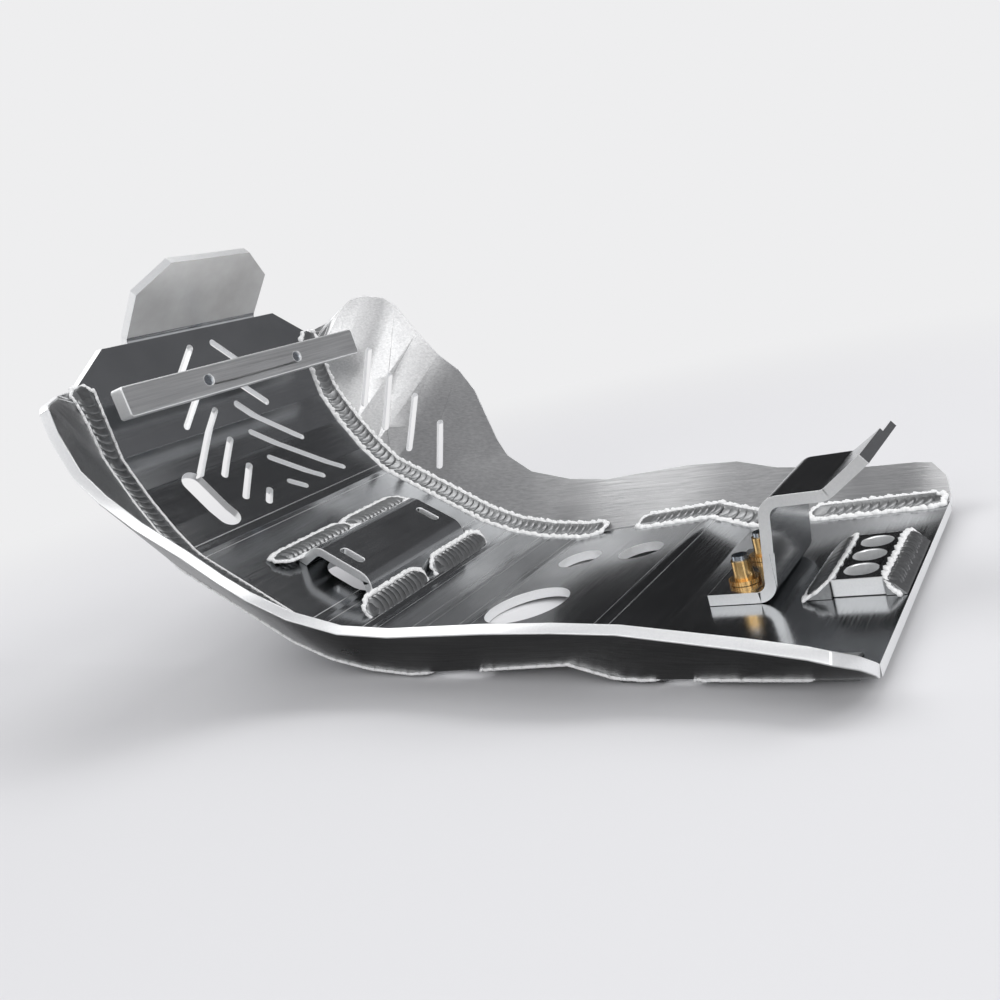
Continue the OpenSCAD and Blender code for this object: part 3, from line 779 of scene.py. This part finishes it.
@dataclass
class SeamWeld:
    """The beads along one edge of the sheet: three runs inside and three underneath."""

    profile: Profile
    side: Side
    runs: Sequence[tuple[str, float, float]] = (("front", 0.37, 8.12), ("middle", 8.50, 10.17),
                                                ("rear", 10.345, 10.94))
    left_end: float = 10.76
    pitch: float = 4.4
    toe: float = 8.3
    leg: float = 6.0
    seat: float = 0.45
    lift: float = 2.4
    high_seat_from: float = 10.3
    beside: float = 0.02

    def inside(self, place: float) -> tuple[Vector, Vector, Vector]:
        """The inner bead's lines at a place.

        Args:
            place: the place along the sheet's edge.

        Returns:
            The toe, the top and the way the bead faces.
        """
        foot, crest = self.profile.wing_lines(self.side, place)
        up = (crest - foot).normalized()
        normal = self.profile.normal(place)
        wing = Vector((0, -self.side.value, 0))
        toe = foot + wing * self.toe + normal * self.seat
        seat = self.seat if place < self.high_seat_from else 3 * self.seat
        top = foot + up * self.leg + wing * seat
        return toe, top, (normal + wing).normalized()

    def outside(self, place: float) -> tuple[Vector, Vector, Vector]:
        """The lines of the bead underneath at a place.

        Args:
            place: the place along the sheet's edge.

        Returns:
            The toe, the top and the way the bead faces.
        """
        foot, crest = self.profile.wing_lines(self.side, place)
        ahead = self.profile.wing_lines(self.side, place + self.beside)
        behind = self.profile.wing_lines(self.side, place - self.beside)
        up = (crest - foot).normalized()
        back = (ahead[0] - behind[0]).cross(up).normalized()
        if back.dot(Vector((0, self.side.value, -1))) < 0:
            back = -back
        normal = self.profile.normal(place)
        low = foot - normal * (self.profile.plate - self.lift)
        high = foot + back * self.profile.plate
        face = (high + low - foot * 2).normalized()
        return low, high, face

    def places(self, start: float, end: float) -> list[float]:
        """The places of the ripples between two ends of a run.

        Args:
            start: the place of the first ripple.
            end: the place that no ripple goes beyond.

        Returns:
            The places.
        """
        found, place = [], start
        while place < end:
            found.append(place)
            place = self.profile.place_after(place, self.pitch)
        return found

    def build(self, finishes: Finishes) -> None:
        """Builds the beads of this side.

        Args:
            finishes: the finishes of the part.
        """
        word = self.side.name.lower()
        for run, start, end in self.runs:
            if run == "rear" and self.side is Side.LEFT:
                # The left wing turns down sooner, so its bead stops short of the corner
                end = self.left_end
            for where, line, crown, border in (("inner", self.inside, 1.5, 0.95),
                                               ("outer", self.outside, 1.2, 0.45)):
                rows = [line(place) for place in self.places(start, end)]
                toes, tops, normals = zip(*rows)
                Bead(f"{where}_bead_{word}_{run}", toes, tops, normals, crown, border).build(finishes)


@dataclass
class BracketWeld:
    """Straight beads across the sheet, such as those of the hat bracket and the block."""

    name: str
    profile: Profile
    panel: int
    low: tuple[float, float]
    high: tuple[float, float]
    spans: Sequence[tuple[float, float]]
    pitch: float = 3.7
    crown: float = 2.3
    replaces: str = ""
    border: float = 0.95
    tuck: float = 1.6

    def build(self, finishes: Finishes) -> None:
        """Builds each stretch of bead.

        Args:
            finishes: the finishes of the part.
        """
        for index, (start, end) in enumerate(self.spans):
            count = max(3, round((end - start) / self.pitch))
            toes, tops, normals = [], [], []
            for k in range(count + 1):
                y = start + (end - start) * k / count
                tuck = self.tuck if k in (0, count) else 0.0
                toe = self.profile.on_panel(self.panel, self.low[0], y, self.low[1])
                top = self.profile.on_panel(self.panel, self.high[0], y, self.high[1])
                way = (top - toe).normalized()
                toes.append(toe + way * tuck)
                tops.append(top - way * tuck)
                lift = Vector((0, 1, 0)).cross(way)
                normals.append(lift if lift.dot(self.profile.normal(self.panel + 0.5)) > 0 else -lift)
            name = f"{self.name}_{index + 1}"
            Bead(name, toes, tops, normals, self.crown, self.border, self.replaces).build(finishes)


def gap_to_line(spot: Vector, start: Vector, end: Vector, stops: bool = True) -> float:
    """The distance from a point to a line.

    Args:
        spot: the point.
        start: one end of the line.
        end: the other end.
        stops: whether the line stops at its ends.

    Returns:
        The distance.
    """
    span = end - start
    share = (spot - start).dot(span) / span.length_squared
    if stops:
        share = min(1.0, max(0.0, share))
    return (spot - start - span * share).length


@dataclass
class CutPlate:
    """A piece cut from plate: a copy of its CAD node with eased edges, near white where it was cut, partly
    a cut's satin and partly painted highlight.
    """

    node: str
    face: bpy.types.Material
    edge: bpy.types.Material
    slot: str
    is_edge: Callable[[Vector, Vector], bool]
    ease_mm: float
    crease_deg: float = 15.0
    folds: Sequence[tuple[Vector, Vector]] = ()
    # The tab's colour is painted reflection: paler and warmer than the sheet
    tab_painted_reflection: bpy.types.Material | None = None
    tab_above: float = 184.0
    merge_mm: float = 0.06
    bevel_deg: float = 40.0
    fold_gap: float = 0.05
    fold_length: float = 2.0

    def build(self, nodes: dict) -> None:
        """Copies the node, merges its triangles, eases its edges and dresses its faces.

        Args:
            nodes: the CAD nodes by name.
        """
        source = nodes[self.node]
        deselect_all()
        piece = source.copy()
        piece.data = source.data.copy()
        piece.name = piece.data.name = f"{self.node}_plate"
        bpy.context.scene.collection.objects.link(piece)
        piece.select_set(True)
        bpy.context.view_layer.objects.active = piece
        bpy.ops.object.mode_set(mode="EDIT")
        bpy.ops.mesh.select_all(action="SELECT")
        bpy.ops.mesh.remove_doubles(threshold=self.merge_mm * MM)
        bpy.ops.mesh.dissolve_degenerate(threshold=self.merge_mm * MM)
        bpy.ops.object.mode_set(mode="OBJECT")
        self.mark_folds(piece.data)
        piece.data.materials.clear()
        piece.data.materials.append(self.face)
        piece.data.materials.append(self.edge)
        for polygon in piece.data.polygons:
            polygon.material_index = int(self.is_edge(polygon.center / MM, polygon.normal))
        # Tab faces high on the front take the tab's paler colour: painted reflection
        if self.tab_painted_reflection:
            piece.data.materials.append(self.tab_painted_reflection)
            for polygon in piece.data.polygons:
                inner = polygon.center.z > self.tab_above * MM and polygon.normal.x > 0
                if polygon.material_index == 0 and inner:
                    polygon.material_index = 2
        bevel = piece.modifiers.new("eased", "BEVEL")
        bevel.width = self.ease_mm * MM
        bevel.segments = 2
        bevel.limit_method = "ANGLE"
        bevel.angle_limit = math.radians(self.bevel_deg)
        # The eased edges take the near-white cut finish too: painted highlight along each edge, with a
        # cut's satin
        bevel.material = 1
        bpy.ops.object.modifier_apply(modifier=bevel.name)
        turn = math.radians(self.crease_deg)
        bpy.ops.object.shade_smooth_by_angle(angle=turn, keep_sharp_edges=True)
        even = piece.modifiers.new("even_normals", "WEIGHTED_NORMAL")
        even.keep_sharp = True
        bpy.ops.object.modifier_apply(modifier=even.name)
        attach(piece, "root")
        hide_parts(self.node)
        LOG.info("%s: %d faces", piece.name, len(piece.data.polygons))

    def mark_folds(self, mesh: bpy.types.Mesh) -> None:
        """Marks the edges that lie on a press-brake fold as crisp.

        Args:
            mesh: the copied mesh, in metres.
        """
        for edge in mesh.edges:
            a, b = (mesh.vertices[v].co / MM for v in edge.vertices)
            for start, end in self.folds:
                gap = max(gap_to_line(spot, start, end, stops=False) for spot in (a, b))
                if gap < self.fold_gap and (a - b).length > self.fold_length:
                    edge.use_edge_sharp = True
                    break


def is_end(centre: Vector, normal: Vector) -> bool:
    """Tells whether a face is the sawn end of a piece that lies across the bike.

    Args:
        centre: the face's middle in millimetres, not used.
        normal: the face's normal.

    Returns:
        True for an end.
    """
    return abs(normal.y) > END_SHARE


def is_flank(centre: Vector, normal: Vector) -> bool:
    """Tells whether a face of the block is not its top.

    Args:
        centre: the face's middle in millimetres, not used.
        normal: the face's normal.

    Returns:
        True for a side or the bottom.
    """
    return normal.z < TOP_SHARE


@dataclass
class Plates:
    """The pieces cut from plate, and the CAD nodes that only need their finishes."""

    profile: Profile
    fold_places: Sequence[float] = (1.0, 1.5, 2.3, 3.15, 4.0, 5.0, 6.0, 7.0, 8.0, 9.0)
    wing_steps: int = 160
    ahead: float = 0.06

    def sheet_edge(self, centre: Vector, normal: Vector) -> bool:
        """Tells whether a face of the main sheet is one of its cut edges.

        Args:
            centre: the face's middle in millimetres.
            normal: the face's normal.

        Returns:
            True where the face runs through the plate's thickness.
        """
        turn = math.radians(self.profile.tab_slope)
        reach = Vector((math.cos(turn), math.sin(turn))) * self.profile.tab_length
        bends = [Vector(bend) for bend in self.profile.bends]
        path = [bends[0] + reach, *bends]
        spot, best, plate_normal = Vector((centre.x, centre.z)), math.inf, Vector((0, 1))
        for start, end in zip(path, path[1:]):
            gap = gap_to_line(spot, start, end)
            if gap < best:
                best, plate_normal = gap, (end - start).orthogonal().normalized()
        return abs(normal.x * plate_normal.x + normal.z * plate_normal.y) < EDGE_SHARE

    def wing_edge(self, side: Side) -> Callable[[Vector, Vector], bool]:
        """Makes the test that finds a wing's cut edges.

        Args:
            side: the side of the bike.

        Returns:
            The test of a face's centre and normal.
        """
        rows = []
        first, last = self.profile.weld_start, float(len(self.profile.lengths))
        for k in range(self.wing_steps):
            place = first + (last - first) * k / self.wing_steps
            foot, crest = self.profile.wing_lines(side, place)
            ahead = self.profile.wing_lines(side, min(place + self.ahead, last - 0.001))
            way = (crest - foot).cross(ahead[0] + ahead[1] - foot - crest).normalized()
            rows.append((foot, crest, way))

        def is_edge(centre: Vector, normal: Vector) -> bool:
            """Tells whether a face of the wing is one of its cut edges."""
            best, wing_normal = math.inf, rows[0][2]
            for foot, crest, way in rows:
                gap = gap_to_line(centre, foot, crest)
                if gap < best:
                    best, wing_normal = gap, way
            return abs(normal.dot(wing_normal)) < EDGE_SHARE

        return is_edge

    def build(self, nodes: dict, finishes: Finishes) -> None:
        """Makes the plate pieces and dresses the other CAD nodes by what they are made of.

        Args:
            nodes: the CAD nodes by name.
            finishes: the finishes of the part.
        """
        # Cut edges and hole walls of the sheet and wings take the near-white cut finish: partly satin,
        # partly painted highlight
        CutPlate("main_sheet", finishes.sheet, finishes.cut, "polished_plate", self.sheet_edge, 0.4,
                 tab_painted_reflection=finishes.tab_painted_reflection).build(nodes)
        for side in Side:
            folds = [self.profile.wing_lines(side, place) for place in self.fold_places]
            CutPlate(f"{side.name.lower()}_wing", finishes.wing, finishes.cut, "brushed_plate",
                     self.wing_edge(side), 0.6, 60.0, folds).build(nodes)
        # Ends of the brackets and bar, and the block's sides and bottom, take the same near-white cut
        # finish: partly satin, partly painted highlight
        for name, face, slot, is_edge, ease in (
            ("hat_bracket", finishes.bracket, "polished_plate", is_end, 0.5),
            ("z_bracket", finishes.bracket, "polished_plate", is_end, 0.5),
            ("clamp_bar", finishes.bar, "brushed_plate", is_end, 0.7),
            ("rear_block", finishes.bracket, "brushed_plate", is_flank, 0.5),
        ):
            CutPlate(name, face, finishes.cut, slot, is_edge, ease).build(nodes)
        # Of the CAD nodes that stay in view, those of a plated kind are fasteners and the rest are welds
        plated = {"clamp_bolt": finishes.zinc, "clamp_washer": finishes.zinc, "z_bolt": finishes.zinc,
                  "z_nut": finishes.yellow}
        for name, node in nodes.items():
            kind = name.rpartition("_")[0]
            dress(node, plated.get(kind, finishes.bead))
        LOG.info("dressed %d CAD nodes", len(nodes))


@dataclass
class Studio:
    """The pale floor, the soft lamps and the camera at the photograph's angle."""

    camera_mm: tuple[float, float, float] = (275.79, -401.35, 162.28)
    right: tuple[float, float, float] = (0.82695, 0.51229, -0.23174)
    down: tuple[float, float, float] = (-0.07635, -0.30602, -0.94896)
    forward: tuple[float, float, float] = (-0.55706, 0.80244, -0.21395)
    lens_mm: float = 34.2
    floor_hex: str = "#dddddf"
    back_hex: str = "#eeeeef"
    fade_m: tuple[float, float] = (0.32, 0.95)
    room: tuple[float, float, float, float] = (0.9, 0.9, 0.92, 1.0)
    room_level: float = 0.55

    def camera(self) -> None:
        """Places the camera and makes it the scene's."""
        data = bpy.data.cameras.new("camera")
        data.lens = self.lens_mm
        data.sensor_width = 36.0
        data.clip_start = 0.01
        camera = bpy.data.objects.new("camera", data)
        bpy.context.scene.collection.objects.link(camera)
        matrix = Matrix.Identity(4)
        for r in range(3):
            matrix[r][0] = self.right[r]
            matrix[r][1] = -self.down[r]
            matrix[r][2] = -self.forward[r]
            matrix[r][3] = self.camera_mm[r] * MM
        camera.matrix_world = matrix
        bpy.context.scene.camera = camera

    def floor(self) -> None:
        """Adds the pale floor that the plate rests on, which far away takes the background's colour."""
        deselect_all()
        bpy.ops.mesh.primitive_plane_add(size=16.0)
        floor = bpy.context.object
        floor.name = "floor"
        material, tree, surface, coords = new_material("pale_studio_floor")
        surface.inputs["Base Color"].default_value = linear(self.floor_hex)
        surface.inputs["Roughness"].default_value = 0.9
        reach = add_node(tree, "ShaderNodeVectorMath", {"operation": "LENGTH"},
                         {0: coords.outputs["Object"]})
        near, far_off = self.fade_m
        fade = {"interpolation_type": "SMOOTHSTEP", "From Min": near, "From Max": far_off}
        far = add_node(tree, "ShaderNodeMapRange", fade, {"Value": reach.outputs["Value"]})
        path = add_node(tree, "ShaderNodeLightPath").outputs
        seen = join_values(tree, "MAXIMUM", path["Is Camera Ray"], path["Is Glossy Ray"])
        share = join_values(tree, "MULTIPLY", seen, far.outputs["Result"])
        glow = add_node(tree, "ShaderNodeEmission", {"Color": linear(self.back_hex), "Strength": 1.0})
        mix = add_node(tree, "ShaderNodeMixShader",
                       links={0: share, 1: surface.outputs[0], 2: glow.outputs[0]})
        output = next(n for n in tree.nodes if n.type == "OUTPUT_MATERIAL")
        tree.links.new(mix.outputs[0], output.inputs["Surface"])
        dress(floor, material)

    def flag(self, name: str, place: tuple, aim: tuple, size: tuple, shade: float) -> None:
        """Adds one dark card that only polished metal sees, as in a product studio.

        Args:
            name: the card's name.
            place: its middle, in metres.
            aim: the point it faces, in metres.
            size: its width and height in metres.
            shade: how bright the card is.
        """
        deselect_all()
        bpy.ops.mesh.primitive_plane_add(size=1.0)
        card = bpy.context.object
        card.name = name
        way = Vector(aim) - Vector(place)
        turn = Matrix.Identity(4)
        if way.xy.length > 1e-6:
            turn = way.to_track_quat("Z", "Y").to_matrix().to_4x4()
        stretch = Matrix.Diagonal((size[0], size[1], 1.0, 1.0))
        card.data.transform(Matrix.Translation(Vector(place)) @ turn @ stretch)
        material, _, surface, _ = new_material(f"{name}_card")
        surface.inputs["Base Color"].default_value = (0.0, 0.0, 0.0, 1.0)
        surface.inputs["Specular IOR Level"].default_value = 0.0
        surface.inputs["Emission Color"].default_value = (shade, shade, shade * 1.04, 1.0)
        surface.inputs["Emission Strength"].default_value = 1.0
        dress(card, material)
        for kind in ("visible_camera", "visible_diffuse", "visible_shadow"):
            setattr(card, kind, False)

    def world(self) -> None:
        """A pale surround that the eye and the metal see, and a plain level of light from all round."""
        world = bpy.data.worlds.new("studio")
        bpy.context.scene.world = world
        world.use_nodes = True
        tree = world.node_tree
        tree.nodes.clear()
        room = add_node(tree, "ShaderNodeBackground", {"Color": self.room, "Strength": self.room_level})
        pale = add_node(tree, "ShaderNodeBackground", {"Color": linear(self.back_hex), "Strength": 1.0})
        path = add_node(tree, "ShaderNodeLightPath").outputs
        seen = join_values(tree, "MAXIMUM", path["Is Camera Ray"], path["Is Glossy Ray"])
        seen = join_values(tree, "MAXIMUM", seen, path["Is Transmission Ray"])
        mix = add_node(tree, "ShaderNodeMixShader",
                       links={0: seen, 1: room.outputs[0], 2: pale.outputs[0]})
        add_node(tree, "ShaderNodeOutputWorld", links={"Surface": mix.outputs[0]})

    def lamp(self, name: str, place: tuple, aim: tuple, size: tuple, level: float,
             mirrored: bool = True) -> None:
        """Adds one soft lamp.

        Args:
            name: the lamp's name.
            place: where it is, in metres.
            aim: the point it faces, in metres.
            size: its width and height in metres.
            level: how bright its face is, where 1 is a white card.
            mirrored: whether polished metal shows it.
        """
        data = bpy.data.lights.new(name, "AREA")
        data.shape = "RECTANGLE"
        data.size, data.size_y = size
        data.energy = level * math.pi * size[0] * size[1]
        lamp = bpy.data.objects.new(name, data)
        lamp.visible_glossy = mirrored
        lamp.location = place
        lamp.rotation_euler = (Vector(aim) - Vector(place)).to_track_quat("-Z", "Y").to_euler()
        bpy.context.scene.collection.objects.link(lamp)

    def build(self) -> None:
        """Builds the whole studio."""
        bpy.context.scene.view_settings.view_transform = "Standard"
        self.camera()
        self.floor()
        self.world()
        middle = (0.0, 0.0, 0.05)
        self.lamp("key", (-1.5, -0.15, 1.9), middle, (1.7, 1.3), 2.2)
        self.lamp("side", (1.15, -0.92, 0.78), middle, (1.1, 0.7), 2.5)
        self.lamp("low", (-0.2, -1.7, 0.8), middle, (1.4, 0.5), 1.7)
        self.lamp("top", (0.0, 0.65, 1.8), middle, (1.3, 0.6), 3.2)
        self.lamp("fill", (1.2, 0.9, 1.1), middle, (1.0, 0.8), 3.0, mirrored=False)
        self.flag("back_flag", (-1.45, 1.7, 0.75), (-1.45, 0, 0.75), (2.9, 1.46), 0.03)
        self.flag("slope_flag", (0.85, 1.7, 0.75), (0.85, 0, 0.75), (1.7, 1.46), 0.17)
        self.flag("rear_flag", (1.7, 0.9, 0.8), (0, 0, 0.8), (2.2, 1.56), 0.2)
        self.flag("top_flag", (-0.2, 1.2, 1.62), (0, 0.1, 0.0), (3.2, 1.5), 0.08)
        self.flag("near_flag", (-0.2, -0.95, 1.5), (0, 0, 0.0), (1.9, 0.9), 0.32)
        self.flag("floor_flag", (0.0, -0.4365, 0.0012), (0.0, -0.4365, 1.0), (1.1, 0.687), 0.04)
        self.flag("high_flag", (0.1, 0.1, 2.1), (0, 0, 0.0), (2.6, 1.7), 0.25)


def main() -> None:
    """Builds the dressed skid plate and its studio."""
    logging.basicConfig(level=logging.INFO, format="%(name)s: %(message)s")
    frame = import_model()
    profile = Profile()
    finishes = Finishes(profile)
    Plates(profile).build(frame["nodes"], finishes)
    for side in Side:
        SeamWeld(profile, side).build(finishes)
    BracketWeld("hat_front_bead", profile, LONG_PANEL, (25.5, 0.5), (39.0, 4.2),
                ((-53.5, 1.0), (7.0, 53.5)), crown=1.5, replaces="hat_weld_front").build(finishes)
    BracketWeld("hat_rear_bead", profile, LONG_PANEL, (102.2, 0.6), (90.0, 7.9),
                ((-53.5, -9.0), (8.0, 53.5))).build(finishes)
    BracketWeld("block_front_bead", profile, REAR_PANEL, (56.2, 0.6), (66.9, 6.9),
                ((-28.6, 30.6),), 3.2, 2.0).build(finishes)
    BracketWeld("block_rear_bead", profile, REAR_PANEL, (94.8, 0.8), (89.4, 6.6),
                ((-28.0, 31.0),), 3.2, 2.0).build(finishes)
    Studio().build()


if __name__ == "__main__":
    main()
